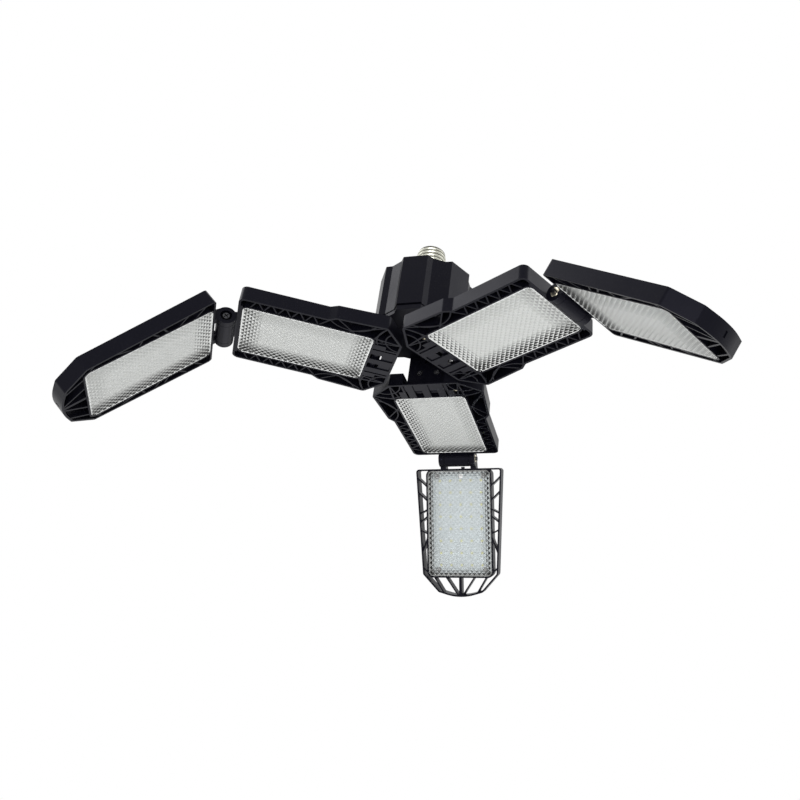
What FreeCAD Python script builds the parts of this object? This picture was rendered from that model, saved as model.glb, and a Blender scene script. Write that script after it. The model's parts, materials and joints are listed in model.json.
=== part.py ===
import FreeCAD, Part
import math
import os

# Ceiling lamp with a screw base, a faceted driver housing and three wings. Each wing is an inner
# LED panel hinged to the hub and an outer LED panel hinged to the inner one. Millimetres.
# The origin is the centre of the seat of the screw base, +Z points into the lamp holder.
# A wing is built along +X and turned to its azimuth. A panel is built with its lens plane at
# z = 0, its light going down, its back up.

vector = FreeCAD.Vector
origin = vector(0, 0, 0)
up = vector(0, 0, 1)
across = vector(0, 1, 0)

# ---- screw base, the 26 mm medium size ------------------------------------------------------
skirt_radius = 13.1
skirt_height = 3.4
shell_height = 20.5
thread_crest_radius = 13.05
thread_root_radius = 12.1
thread_ridge_radius = 1.5
thread_pitch = 3.629
shell_wall = 0.5
shell_lip = 1.6
insulator_height = 4.0
insulator_plug = 3.0
contact_radius = 4.8
contact_height = 2.0

# ---- driver housing ---------------------------------------------------------------------------
housing_across = 80.0
housing_height = 51.0
housing_wall = 2.4
facet_count = 12
facet_recess = 2.7
recess_floor = 11.0
pillar_lift = 1.6
shoulder_height = 9.0
neck_height = 7.0
neck_radius = 17.5
spigot_gap = 0.1
spigot_height = 15.0
spigot_wall = 2.4

# ---- hinge base under the housing --------------------------------------------------------------
base_thickness = 4.0
register_height = 4.0
register_wall = 3.0
arm_drop = 29.0
arm_width = 36.0
arm_end_radius = 4.5
lead_hole_radius = 4.0
lead_groove_width = 8.0
lead_groove_depth = 4.0
cover_width = 22.0
cover_height = 20.0
cover_thickness = 1.5
cover_above_axis = 13.0
cover_screw_spacing = 15.2
register_gap = 0.3
housing_boss_radius = 4.2
housing_boss_gap = 0.7
housing_boss_height = 14.0

# ---- hinges --------------------------------------------------------------------------------------
inner_hinge_radius = 35.8
outer_hinge_gap = 0.3
bolt_radius = 2.0
bore_gap = 0.08
bolt_head_radius = 3.5
bolt_head_height = 2.4
nut_across_flats = 7.0
nut_height = 3.2
nut_gap = 0.15
running_gap = 0.35
bolt_tip = 1.7

# ---- panels ----------------------------------------------------------------------------------------
panel_depth = 12.0
lens_length = 102.4
lens_width = 63.0
lens_corner = 4.5
lens_thickness = 2.0
lens_gap = 0.15
lens_ledge = 1.2
pocket_wall = 1.3
pocket_floor = 2.0
board_thickness = 1.5
board_gap = 0.4
led_length = 3.5
led_width = 2.8
led_height = 0.8
led_columns = 5
led_rows = 8
led_border_x = 9.9
led_border_y = 10.7
board_screw_inset_x = 5.5
board_screw_inset_y = 8.0
board_screw_radius = 1.4
lead_entry_radius = 2.5
rib_width = 1.1
rib_front = 0.3

# inner panel. Its places along the wing are measured from the hub's axis, and its margins are the
# widths between the lens box and the outside of the side wall.
inner_edge = 19.5
inner_edge_half = 30.0
inner_shoulder_x = 35.0
inner_shoulder_margin = 17.05
inner_step_x = 75.0
inner_step_margin = 14.25
inner_step_length = 6.0
inner_neck_margin = 10.25
inner_tip_margin = 9.45
inner_end_border = 3.5
inner_wall = 1.8
inner_skin = 1.8
inner_corner = 5.0
inner_ear_width = 6.0
inner_front_skin = 1.4
axis_behind_lens = 6.3
bar_width = 6.4
bar_pitch = 13.4
bar_count = 3
bar_floor = 0.6
bay_count = 5
wrench_room = 7.0
back_slot_length = 7.0
back_slot_width = 2.4

# outer panel. Its margins are the widths between the lens box and the outside of the rim, and its
# tip's places are measured from the lens's end.
outer_edge_gap = 2.1
outer_edge_margin = 10.25
outer_side_margin = 4.55
outer_side_setback = 1.7
outer_chamfer_reach = 15.3
outer_chamfer_inset = 10.95
outer_apex_reach = 21.7
outer_tip_roundness = 2.27
outer_wall = 1.6
outer_corner = 3.0
outer_rib_width = 1.3
outer_rib_back = 9.0
axis_before_inner_lens = 1.4
axis_before_outer_lens = 0.8
knuckle_radius = 7.4
knuckle_width = 24.0
outer_ear_width = 5.5
ear_recess = 3.0
head_recess_gap = 0.9
outer_side_ribs = [
    (0.06, 0.15), (0.20, 0.285), (0.41, 0.37), (0.495, 0.435), (0.565, 0.60), (0.785, 0.635), (0.92, 0.965),
]
tip_rib_share = 0.446
chamfer_rib_share = 0.804
tip_slot_width = 2.2
tip_slot_height = 4.4
tip_slot_floor = 2.8
stop_lug_width = 3.0
stop_lug_offset = 4.5
stop_lug_gap = 0.4
web_rise = 2.3

# azimuth of each wing and how far its outer panel hangs down from the inner panel's plane
wings = {"left": (210.0, 48.0), "rear": (90.0, 64.0), "right": (-30.0, 36.0)}

# ---- places worked out from the sizes ------------------------------------------------------------
housing_apothem = housing_across / 2
housing_top = -(neck_height + shoulder_height)
housing_bottom = housing_top - housing_height
base_bottom = housing_bottom - base_thickness
inner_axis_height = base_bottom - arm_drop
inner_lens_height = inner_axis_height - axis_behind_lens
housing_inner_radius = housing_apothem - facet_recess - housing_wall
housing_screw_circle = housing_inner_radius - housing_boss_radius - housing_boss_gap
recess_half_length = lens_length / 2 + lens_gap
recess_half_width = lens_width / 2 + lens_gap
recess_depth = lens_thickness + lens_gap
board_front = panel_depth - pocket_floor - board_thickness
bore_radius = bolt_radius + bore_gap
arm_inner_face = inner_hinge_radius - arm_end_radius
arm_outer_face = inner_hinge_radius + arm_end_radius
ear_start = arm_width / 2 + running_gap
ear_end = ear_start + inner_ear_width
outer_ear_start = knuckle_width / 2 + running_gap
outer_ear_end = outer_ear_start + outer_ear_width
pocket_side = lens_width / 2 + lens_gap + pocket_wall
pocket_line = pocket_side - pocket_wall / 2
inner_lens_start = arm_outer_face + running_gap + pocket_wall + lens_gap
inner_panel_end = inner_lens_start + lens_length + inner_end_border
outer_axis_radius = inner_panel_end + knuckle_radius + outer_hinge_gap
outer_axis_height = inner_lens_height - axis_before_inner_lens
outer_edge = knuckle_radius + outer_edge_gap
outer_lens_start = outer_edge + running_gap + pocket_wall + lens_gap
outer_lens_end = outer_lens_start + lens_length
outer_side_end = outer_lens_end - outer_side_setback
outer_chamfer_x = outer_lens_end + outer_chamfer_reach
outer_chamfer_half = pocket_side - outer_chamfer_inset
outer_apex = outer_lens_end + outer_apex_reach
outer_tip_radius = outer_tip_roundness * outer_chamfer_half
parts_folder = "parts"


def slab(outline, bottom, top):
    """A prism on a closed outline, given as corner points or as a wire."""
    wire = outline if isinstance(outline, Part.Wire) else Part.makePolygon(outline + outline[:1])
    face = Part.Face(wire)
    face.translate(vector(0, 0, bottom))
    return face.extrude(vector(0, 0, top - bottom))


def box(x_low, x_high, y_low, y_high, z_low, z_high):
    """A block between two corners."""
    size = (x_high - x_low, y_high - y_low, z_high - z_low)
    return Part.makeBox(*size, vector(x_low, y_low, z_low))


def rod(radius, start, end):
    """A cylinder between two points."""
    return Part.makeCylinder(radius, (end - start).Length, start, end - start)


def mirrored(points):
    """A half outline at positive y, closed by its mirror image, in counter-clockwise order."""
    return [vector(p.x, -p.y, 0) for p in reversed(points)] + points


def inset(points, distance):
    """A counter-clockwise outline whose edges all move inwards by the same distance."""
    count = len(points)
    lines = []
    for i in range(count):
        start, end = points[i], points[(i + 1) % count]
        along = (end - start).normalize()
        inwards = vector(-along.y, along.x, 0)
        lines.append((start + inwards * distance, along))
    corners = []
    for i in range(count):
        (p, d), (q, e) = lines[i - 1], lines[i]
        reach = ((q.x - p.x) * e.y - (q.y - p.y) * e.x) / (d.x * e.y - d.y * e.x)
        corners.append(p + d * reach)
    return corners


def rounded(points, radii):
    """A closed wire through the outline's corners, each rounded by its own radius."""
    count = len(points)
    edges = []
    last = None
    first = None
    for i in range(count):
        corner = points[i]
        back = (points[i - 1] - corner).normalize()
        ahead = (points[(i + 1) % count] - corner).normalize()
        half_angle = back.getAngle(ahead) / 2
        reach = radii[i] / math.tan(half_angle)
        enter = corner + back * reach
        leave = corner + ahead * reach
        bisector = (back + ahead).normalize()
        middle = corner + bisector * (radii[i] / math.sin(half_angle) - radii[i])
        if last is not None:
            edges.append(Part.LineSegment(last, enter).toShape())
        else:
            first = enter
        edges.append(Part.Arc(enter, middle, leave).toShape())
        last = leave
    edges.append(Part.LineSegment(last, first).toShape())
    return Part.Wire(edges)


def inset_radii(points, radii, distance):
    """Corner radii of an inset outline: smaller where it turns left, larger where it turns right."""
    result = []
    for i, corner in enumerate(points):
        came = corner - points[i - 1]
        goes = points[(i + 1) % len(points)] - corner
        left = came.x * goes.y - came.y * goes.x > 0
        result.append(max(radii[i] - distance, distance / 4) if left else radii[i] + distance)
    return result


def rounded_box(x_middle, half_length, half_width, radius, z_low, z_high):
    """A block with four rounded upright edges, centred on the wing's line."""
    corners = [
        vector(x_middle - half_length, -half_width, 0),
        vector(x_middle + half_length, -half_width, 0),
        vector(x_middle + half_length, half_width, 0),
        vector(x_middle - half_length, half_width, 0),
    ]
    return slab(rounded(corners, [radius] * 4), z_low, z_high)


def rib(start, end, width, z_low, z_high):
    """A straight upright rib between two points of the plan."""
    along = vector(end[0] - start[0], end[1] - start[1], 0)
    side = vector(-along.y, along.x, 0).normalize() * (width / 2)
    p, q = vector(start[0], start[1], 0), vector(end[0], end[1], 0)
    return slab([p - side, q - side, q + side, p + side], z_low, z_high)


def arc_rib(centre, radius, width, z_low, z_high):
    """A ring-shaped upright rib round a point of the plan."""
    base = vector(centre[0], centre[1], z_low)
    outside = Part.makeCylinder(radius + width / 2, z_high - z_low, base)
    return outside.cut(Part.makeCylinder(radius - width / 2, z_high - z_low, base))


def both_sides(pairs):
    """Rib end points, with their mirror images across the wing's line."""
    return pairs + [((a[0], -a[1]), (b[0], -b[1])) for a, b in pairs]


def join(shapes):
    """One solid made of overlapping shapes."""
    return shapes[0].multiFuse(shapes[1:]).removeSplitter()


def save(name, shape):
    """Write one node's file and print its solids."""
    shape.exportStep(os.path.join(parts_folder, name + ".step"))
    state = "valid" if shape.isValid() else "BAD"
    print(name, len(shape.Solids), "solid(s)", round(shape.Volume), "mm3", state)


# ---- fasteners -----------------------------------------------------------------------------------


def cross_recess(head_radius, depth):
    """The cross cut into a screw head whose top is at z = 0."""
    half_width = head_radius * 0.14
    reach = head_radius * 0.6
    bar = box(-reach, reach, -half_width, half_width, -depth, depth)
    other = box(-half_width, half_width, -reach, reach, -depth, depth)
    return bar.fuse(other)


def pan_screw(head_radius, head_height, shank_radius, length):
    """A cross-head screw with its head standing on z = 0 and its shank going down."""
    straight = head_height * 0.45
    head = Part.makeCylinder(head_radius, straight)
    crown = Part.makeCone(head_radius, head_radius * 0.72, head_height - straight, vector(0, 0, straight))
    shank = Part.makeCylinder(shank_radius, length, origin, vector(0, 0, -1))
    recess = cross_recess(head_radius, head_height * 0.55)
    recess.translate(vector(0, 0, head_height))
    return join([head, crown, shank]).cut(recess)


def flat_screw_body(head_radius, head_height, shank_radius, length):
    """A countersunk screw without its cross, its flat top at z = 0 and its shank going down."""
    head = Part.makeCone(head_radius, shank_radius, head_height, origin, vector(0, 0, -1))
    shank = Part.makeCylinder(shank_radius, length, origin, vector(0, 0, -1))
    return join([head, shank])


def hex_prism(across_flats, bottom, top):
    """A hexagon prism along z with two corners on the y axis."""
    corner = across_flats / math.sqrt(3)
    angles = [math.radians(30 + 60 * i) for i in range(6)]
    return slab([vector(corner * math.cos(a), corner * math.sin(a), 0) for a in angles], bottom, top)


def to_hinge(shape, x, z):
    """Lay a part made along z on a hinge's axis, its +z turned to the wing's +y."""
    turned = shape.copy()
    turned.rotate(origin, vector(1, 0, 0), -90)
    turned.translate(vector(x, 0, z))
    return turned


def hinge_bolt(head_seat, tip):
    """A hinge bolt made along z, its head standing on z = head_seat and its end at z = tip."""
    bolt = pan_screw(bolt_head_radius, bolt_head_height, bolt_radius, head_seat - tip)
    bolt.translate(vector(0, 0, head_seat))
    return bolt


def hinge_nut(seat):
    """A hexagon nut made along z, its seat at z = seat and its chamfered body below."""
    body = hex_prism(nut_across_flats, seat - nut_height, seat)
    widest = nut_across_flats * 0.62
    chamfer = nut_height * 0.3
    cone = Part.makeCone(nut_across_flats * 0.5, widest, chamfer, vector(0, 0, seat - nut_height))
    straight = Part.makeCylinder(widest, nut_height, vector(0, 0, seat - nut_height + chamfer))
    body = body.common(join([cone, straight]))
    thread = Part.makeCylinder(bolt_radius + bore_gap / 2, nut_height, vector(0, 0, seat - nut_height))
    return body.cut(thread)


# ---- screw base ------------------------------------------------------------------------------------


def screw_shell():
    """The threaded shell: a plain skirt, a rounded helical thread and a lip turned in at the top."""
    root = thread_root_radius
    outline = [
        vector(root - shell_wall, 0, 0),
        vector(skirt_radius, 0, 0),
        vector(skirt_radius, 0, skirt_height),
        vector(root, 0, skirt_height + shell_wall),
        vector(root, 0, shell_height - shell_wall * 2),
        vector(root - shell_wall * 2, 0, shell_height),
        vector(root - shell_lip, 0, shell_height),
        vector(root - shell_lip, 0, shell_height - shell_wall),
        vector(root - shell_wall, 0, shell_height - shell_wall * 2),
    ]
    tube = Part.Face(Part.makePolygon(outline + outline[:1])).revolve(origin, up, 360)
    start = skirt_height + thread_ridge_radius
    climb = shell_height - start - thread_ridge_radius * 1.6
    ridge_path = thread_crest_radius - thread_ridge_radius
    helix = Part.makeHelix(thread_pitch, climb, ridge_path)
    profile = Part.Wire(Part.makeCircle(thread_ridge_radius, vector(ridge_path, 0, 0), across))
    ridge = Part.Wire(helix).makePipeShell([profile], True, True)
    ridge.translate(vector(0, 0, start))
    inside = Part.makeCylinder(root - shell_wall / 2, shell_height)
    return tube.fuse(ridge.cut(inside))


def base_insulator():
    """The dark insulator that plugs the top of the shell, rests on its lip and carries the contact."""
    hole = thread_root_radius - shell_lip
    plug = Part.makeCylinder(hole - spigot_gap, insulator_plug, vector(0, 0, shell_height - insulator_plug))
    rim = hole + shell_wall
    cone = Part.makeCone(rim, contact_radius + 1.0, insulator_height, vector(0, 0, shell_height))
    return join([plug, cone])


def centre_contact():
    """The brass centre contact, a low button with a chamfered edge."""
    base = Part.makeCylinder(contact_radius, contact_height / 2)
    crown = Part.makeCone(contact_radius, contact_radius * 0.6, contact_height / 2)
    crown.translate(vector(0, 0, contact_height / 2))
    button = join([base, crown])
    button.translate(vector(0, 0, shell_height + insulator_height))
    return button


# ---- hub --------------------------------------------------------------------------------------------


def housing_outline():
    """The twelve-sided plan. The facets over and between the wings stand proud of the others."""
    step = 2 * math.pi / facet_count
    facet_half = housing_apothem * math.tan(step / 2)
    points = []
    for k in range(facet_count):
        azimuth = -math.pi / 2 + k * step
        out = vector(math.cos(azimuth), math.sin(azimuth), 0)
        along = vector(-math.sin(azimuth), math.cos(azimuth), 0)
        points.append(out * housing_apothem - along * facet_half)
        if k % 2:
            floor = out * (housing_apothem - facet_recess)
            points.append(floor - along * (recess_floor / 2))
            points.append(floor + along * (recess_floor / 2))
    return points


def between_wings():
    """Azimuths of the three housing screws, midway between the wings."""
    return [azimuth + 60 for azimuth, droop in wings.values()]


def polar(radius, azimuth, height):
    """A point given by its distance from the hub's axis, its azimuth and its height."""
    angle = math.radians(azimuth)
    return vector(radius * math.cos(angle), radius * math.sin(angle), height)


def driver_housing():
    """The hollow faceted housing with its shoulder, neck and the spigot inside the screw shell."""
    wall_face = housing_apothem - facet_recess
    inner_radius = housing_inner_radius
    spigot_radius = thread_root_radius - shell_wall - spigot_gap
    chimney_radius = spigot_radius - spigot_wall
    outside = slab(housing_outline(), housing_bottom, housing_top)
    shoulder = Part.makeCone(wall_face, neck_radius + 2, shoulder_height, vector(0, 0, housing_top))
    neck = Part.makeCylinder(neck_radius, neck_height + shoulder_height, vector(0, 0, housing_top))
    spigot = Part.makeCylinder(spigot_radius, spigot_height)
    shape = join([outside, shoulder, neck, spigot])
    room_top = housing_top - housing_wall
    room = Part.makeCylinder(inner_radius, room_top - housing_bottom, vector(0, 0, housing_bottom))
    taper = Part.makeCone(inner_radius, chimney_radius, shoulder_height, vector(0, 0, room_top))
    chimney = rod(chimney_radius, vector(0, 0, housing_top), vector(0, 0, spigot_height))
    shape = shape.cut(join([room, taper, chimney]))
    facet_half = housing_apothem * math.tan(math.pi / facet_count)
    for azimuth in between_wings():
        foot = polar(housing_screw_circle, azimuth, housing_bottom)
        wall = polar(inner_radius + housing_wall / 2, azimuth, 0)
        web_foot = housing_bottom + register_height + 1
        web_top = housing_bottom + housing_boss_height
        boss = rod(housing_boss_radius, foot, foot + up * housing_boss_height)
        web = rib((foot.x, foot.y), (wall.x, wall.y), housing_boss_radius, web_foot, web_top)
        shape = shape.fuse([boss, web])
        shape = shape.cut(rod(board_screw_radius, foot, foot + up * (housing_boss_height - housing_wall)))
        lift = box(wall_face, housing_apothem + 1, -facet_half, facet_half,
                   housing_bottom, housing_bottom + pillar_lift)
        lift.rotate(origin, up, azimuth)
        shape = shape.cut(lift)
    return shape.removeSplitter()


def hinge_arm():
    """One arm along +X: a wide block whose rounded end holds the inner hinge's bore, with a
    groove for the leads and a seat for its cover in the inner face."""
    half = arm_width / 2
    block = box(arm_inner_face, arm_outer_face, -half, half, inner_axis_height, base_bottom)
    start = vector(inner_hinge_radius, -half, inner_axis_height)
    end = vector(inner_hinge_radius, half, inner_axis_height)
    arm = join([block, rod(arm_end_radius, start, end)])
    half = lead_groove_width / 2
    groove_foot = inner_axis_height + cover_above_axis - cover_height / 2 + cover_thickness
    groove = box(arm_inner_face - 1, arm_inner_face + lead_groove_depth, -half, half,
                 groove_foot, base_bottom)
    arm = arm.cut(join([groove, cover_box(bore_gap)]))
    for side in (-1, 1):
        seat = vector(arm_inner_face, side * cover_screw_spacing / 2, inner_axis_height + cover_above_axis)
        arm = arm.cut(rod(board_screw_radius, seat, seat + vector(arm_end_radius * 1.6, 0, 0)))
    return arm.cut(rod(bore_radius, start, end))


def cover_box(clear):
    """The space of a wire cover in an arm's inner face, grown by a clearance."""
    middle = inner_axis_height + cover_above_axis
    half_width = cover_width / 2 + clear
    half_height = cover_height / 2 + clear
    return box(arm_inner_face - clear, arm_inner_face + cover_thickness, -half_width, half_width,
               middle - half_height, middle + half_height)


def hinge_base():
    """The plate that closes the housing, its register ring, its three arms and the board's guides."""
    plate = slab(inset(housing_outline(), housing_wall / 4), base_bottom, housing_bottom)
    ring_radius = housing_inner_radius - register_gap
    ring_foot = vector(0, 0, housing_bottom)
    ring = Part.makeCylinder(ring_radius, register_height, ring_foot)
    ring = ring.cut(Part.makeCylinder(ring_radius - register_wall, register_height, ring_foot))
    for azimuth in between_wings():
        foot = polar(housing_screw_circle, azimuth, housing_bottom)
        ring = ring.cut(rod(housing_boss_radius + register_gap, foot, foot + up * register_height))
    pieces = [plate] + ring.Solids
    for side in (-1, 1):
        pieces.append(board_guide(side))
    for azimuth, droop in wings.values():
        arm = hinge_arm()
        arm.rotate(origin, up, azimuth)
        pieces.append(arm)
    shape = join(pieces)
    for azimuth, droop in wings.values():
        lead = polar(arm_inner_face - lead_hole_radius + lead_groove_depth, azimuth, base_bottom)
        shape = shape.cut(rod(lead_hole_radius, lead, lead + up * base_thickness))
    for azimuth in between_wings():
        foot = polar(housing_screw_circle, azimuth, base_bottom)
        shape = shape.cut(rod(board_screw_radius + bore_gap * 2, foot, foot + up * base_thickness))
    return shape


def housing_screws():
    """Three pan-head screws up through the base into the housing's bosses."""
    screws = []
    for azimuth in between_wings():
        length = housing_boss_height + base_thickness - 2 * housing_wall
        screw = pan_screw(board_screw_radius * 2, 2.0, board_screw_radius - bore_gap, length)
        screw.rotate(origin, vector(1, 0, 0), 180)
        screw.translate(polar(housing_screw_circle, azimuth, base_bottom))
        screws.append(screw)
    return Part.makeCompound(screws)


def wire_covers():
    """Three plates that close the lead grooves on the arms' inner faces."""
    covers = []
    for azimuth, droop in wings.values():
        plate = cover_box(0)
        for side in (-1, 1):
            plate = plate.cut(to_cover(cover_screw_body(bore_gap), side))
        plate.rotate(origin, up, azimuth)
        covers.append(plate)
    return Part.makeCompound(covers)


def cover_screw_body(clear):
    """A countersunk cover screw without its cross, grown by a clearance."""
    return flat_screw_body(2.6 + clear, 1.3, board_screw_radius - bore_gap + clear, arm_end_radius * 1.5)


def to_cover(screw, side):
    """Lay a screw made along z into one side of an arm's wire cover."""
    laid = screw.copy()
    laid.rotate(origin, across, -90)
    height = inner_axis_height + cover_above_axis
    laid.translate(vector(arm_inner_face, side * cover_screw_spacing / 2, height))
    return laid


def wire_cover_screws():
    """The two flush screws of each wire cover."""
    crossed = cover_screw_body(0).cut(cross_recess(2.6, 0.7))
    screws = []
    for azimuth, droop in wings.values():
        for side in (-1, 1):
            screw = to_cover(crossed, side)
            screw.rotate(origin, up, azimuth)
            screws.append(screw)
    return Part.makeCompound(screws)


# ---- driver -------------------------------------------------------------------------------------------

driver_board_border = 9.9
driver_board_height = 38.0
driver_board_thickness = 1.6
guide_height = 10.0
guide_size = 5.0
driver_board_width = 2 * (housing_inner_radius - driver_board_border)


def board_guide(side):
    """A slotted post on the base that holds one edge of the driver board."""
    x = side * driver_board_width / 2
    z = housing_bottom
    near = guide_size / 2
    post = box(x - near, x + near, -near, near, z, z + guide_height)
    half = driver_board_thickness / 2 + bore_gap
    reach = driver_board_width / 2 + bore_gap
    return post.cut(box(-reach, reach, -half, half, z, z + guide_height))


def driver_board():
    """The upright driver board, standing on the base between its guides."""
    half = driver_board_width / 2
    return box(-half, half, -driver_board_thickness / 2, driver_board_thickness / 2,
               housing_bottom, housing_bottom + driver_board_height)


def transformer():
    """Core and bobbin on the board's front side."""
    y = -driver_board_thickness / 2
    z = housing_bottom + 13
    core = box(-19, -1, y - 14, y, z, z + 20)
    winding = box(-17, -3, y - 16, y - 1, z + 4, z + 16)
    return join([core, winding])


def smoothing_capacitors():
    """Two electrolytic cans lying on the board's front side."""
    y = -driver_board_thickness / 2
    cans = []
    for x in (6.5, 17.0):
        foot = vector(x, y - 5.0, housing_bottom + 12)
        can = rod(4.9, foot, foot + up * 22)
        leads = box(x - 1, x + 1, y - 2, y, foot.z + 1, foot.z + 3)
        cans.append(join([can, leads]))
    return Part.makeCompound(cans)


def choke_coil():
    """A ring choke standing against the board's back."""
    y = driver_board_thickness / 2
    ring = Part.makeTorus(6.5, 2.8, vector(-12, y + 2.8, housing_bottom + 22), across)
    foot = box(-15, -9, y, y + 2.8, housing_bottom + 13, housing_bottom + 17)
    return join([ring, foot])


def driver_chips():
    """Rectifier, switch and controller on the board's back."""
    y = driver_board_thickness / 2
    z = housing_bottom
    return Part.makeCompound([
        box(4, 12, y, y + 2.6, z + 14, z + 20),
        box(4, 9, y, y + 1.7, z + 24, z + 30),
        box(13, 20, y, y + 4.5, z + 24, z + 34),
    ])


# ---- LED panels -----------------------------------------------------------------------------------------


def lens_box(lens_start):
    """The closed box round the lens, with its recess and cavity still solid."""
    middle = lens_start + lens_length / 2
    grow = lens_gap + pocket_wall
    half_length = lens_length / 2 + grow
    return rounded_box(middle, half_length, lens_width / 2 + grow, lens_corner + grow, 0, panel_depth)


def lens_cavity(lens_start):
    """The lens's recess, the cavity behind its ledge, and the holes in the floor."""
    middle = lens_start + lens_length / 2
    corner = lens_corner + lens_gap
    recess = rounded_box(middle, recess_half_length, recess_half_width, corner, 0, recess_depth)
    half_length = recess_half_length - lens_ledge
    half_width = recess_half_width - lens_ledge
    room = rounded_box(middle, half_length, half_width, lens_corner, 0, panel_depth - pocket_floor)
    cuts = [recess, room]
    for x, y in board_screw_places(lens_start):
        cuts.append(rod(board_screw_radius, vector(x, y, board_front), vector(x, y, panel_depth - 0.4)))
    x = lens_start + board_screw_inset_x
    cuts.append(rod(lead_entry_radius, vector(x, 0, 0), vector(x, 0, panel_depth)))
    return join(cuts)


def board_screw_places(lens_start):
    """The four board screws, near the lens's corners."""
    half_width = lens_width / 2 - board_screw_inset_y
    ends = (lens_start + board_screw_inset_x, lens_start + lens_length - board_screw_inset_x)
    return [(x, y) for x in ends for y in (-half_width, half_width)]


def lens(lens_start):
    """The clear cover, a flat plate with rounded corners."""
    middle = lens_start + lens_length / 2
    return rounded_box(middle, lens_length / 2, lens_width / 2, lens_corner, 0, lens_thickness)


def led_board(lens_start):
    """The metal board that carries the LEDs, lying on the pocket's floor."""
    middle = lens_start + lens_length / 2
    half_length = recess_half_length - lens_ledge - board_gap
    half_width = recess_half_width - lens_ledge - board_gap
    board = rounded_box(middle, half_length, half_width, lens_corner - board_gap,
                        board_front, board_front + board_thickness)
    for x, y in board_screw_places(lens_start):
        board = board.cut(rod(board_screw_radius + bore_gap * 2, vector(x, y, 0), vector(x, y, panel_depth)))
    x = lens_start + board_screw_inset_x
    return board.cut(rod(lead_entry_radius, vector(x, 0, 0), vector(x, 0, panel_depth)))


def leds(lens_start):
    """The grid of LED packages on the board's front."""
    row_pitch = (lens_length - 2 * led_border_x) / (led_rows - 1)
    column_pitch = (lens_width - 2 * led_border_y) / (led_columns - 1)
    packages = []
    for row in range(led_rows):
        x = lens_start + led_border_x + row * row_pitch
        for column in range(led_columns):
            y = (column - (led_columns - 1) / 2) * column_pitch
            packages.append(box(x - led_length / 2, x + led_length / 2, y - led_width / 2, y + led_width / 2,
                                board_front - led_height, board_front))
    return Part.makeCompound(packages)


def board_screws(lens_start):
    """The four screws that hold the board to the pocket's floor."""
    length = board_thickness + pocket_floor - 0.6
    screws = []
    for x, y in board_screw_places(lens_start):
        screw = pan_screw(board_screw_radius * 1.9, 1.6, board_screw_radius - bore_gap, length)
        screw.rotate(origin, vector(1, 0, 0), 180)
        screw.translate(vector(x, y, board_front))
        screws.append(screw)
    return Part.makeCompound(screws)


def inner_outline():
    """Plan of an inner panel, counter-clockwise, and the rounding of each corner."""
    half = [
        vector(inner_panel_end, pocket_side + inner_tip_margin, 0),
        vector(inner_step_x + inner_step_length, pocket_side + inner_neck_margin, 0),
        vector(inner_step_x, pocket_side + inner_step_margin, 0),
        vector(inner_shoulder_x, pocket_side + inner_shoulder_margin, 0),
        vector(inner_edge, inner_edge_half, 0),
    ]
    half_radii = [inner_corner, inner_corner / 2, inner_corner / 2, inner_corner * 0.8, inner_corner * 0.3]
    return mirrored(half), half_radii[::-1] + half_radii


def inner_ribs():
    """The web of thin ribs between the side wall and the lens box of an inner panel."""
    low, high = rib_front, panel_depth - inner_skin / 2
    start = inner_lens_start
    end = inner_lens_start + lens_length
    edge_knot = (inner_edge, inner_edge_half)
    shoulder_knot = (inner_shoulder_x, pocket_side + inner_shoulder_margin)
    step_knot = (inner_step_x, pocket_side + inner_step_margin)
    neck = pocket_side + inner_neck_margin
    lines = [
        (edge_knot, (start, pocket_line - 6)),
        (edge_knot, (start, pocket_line)),
        (edge_knot, (start + 9, pocket_line)),
        (shoulder_knot, (start, pocket_line)),
        (shoulder_knot, (start + 22, pocket_line)),
        (step_knot, (start + 16, pocket_line)),
        (step_knot, (start + 45, pocket_line)),
    ]
    first = inner_step_x + 2 * inner_step_length
    bay = (end - inner_corner - first) / bay_count
    for k in range(bay_count):
        x = first + k * bay
        lines.append(((x, pocket_line), (x + bay / 2, neck)))
        lines.append(((x + bay / 2, neck), (x + bay, pocket_line)))
    shapes = [rib(p, q, rib_width, low, high) for p, q in both_sides(lines)]
    for side in (-1, 1):
        centre = (inner_edge + 1, side * (inner_edge_half + 4))
        shapes.append(arc_rib(centre, 13.0, rib_width, low, high))
        shapes.append(arc_rib(centre, 20.0, rib_width, low, high))
        centre = (inner_step_x - 12, side * (step_knot[1] + 9))
        shapes.append(arc_rib(centre, 21.0, rib_width, low, high))
    return shapes


def inner_grille():
    """The flat bars in front of an arm, between the panel's edge and its lens box, and the thin
    floor that closes the slots between them up to the arm's end."""
    half = ear_start + inner_wall / 2
    reach = arm_outer_face + running_gap + pocket_wall / 2
    bars = [
        box(inner_edge, inner_edge + inner_wall, -half, half, 0, inner_front_skin),
        box(inner_edge, arm_inner_face, -half, half, inner_front_skin - bar_floor, inner_front_skin),
    ]
    for k in range(bar_count):
        y = (k - (bar_count - 1) / 2) * bar_pitch
        bars.append(box(inner_edge, reach, y - bar_width / 2, y + bar_width / 2, 0, inner_front_skin))
    return bars


def inner_ears():
    """The two ears beside an arm with the walls that run from them to the panel's edge."""
    x_low = inner_hinge_radius - arm_end_radius - 0.3
    x_high = arm_outer_face + running_gap + pocket_wall / 2
    pieces = []
    for side in (-1, 1):
        y_low, y_high = sorted((side * ear_start, side * ear_end))
        wall_low, wall_high = sorted((side * ear_start, side * (ear_start + inner_wall)))
        pieces.append(box(x_low, x_high, y_low, y_high, 0, panel_depth))
        pieces.append(box(inner_edge, x_high, wall_low, wall_high, 0, panel_depth))
    return pieces


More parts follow.
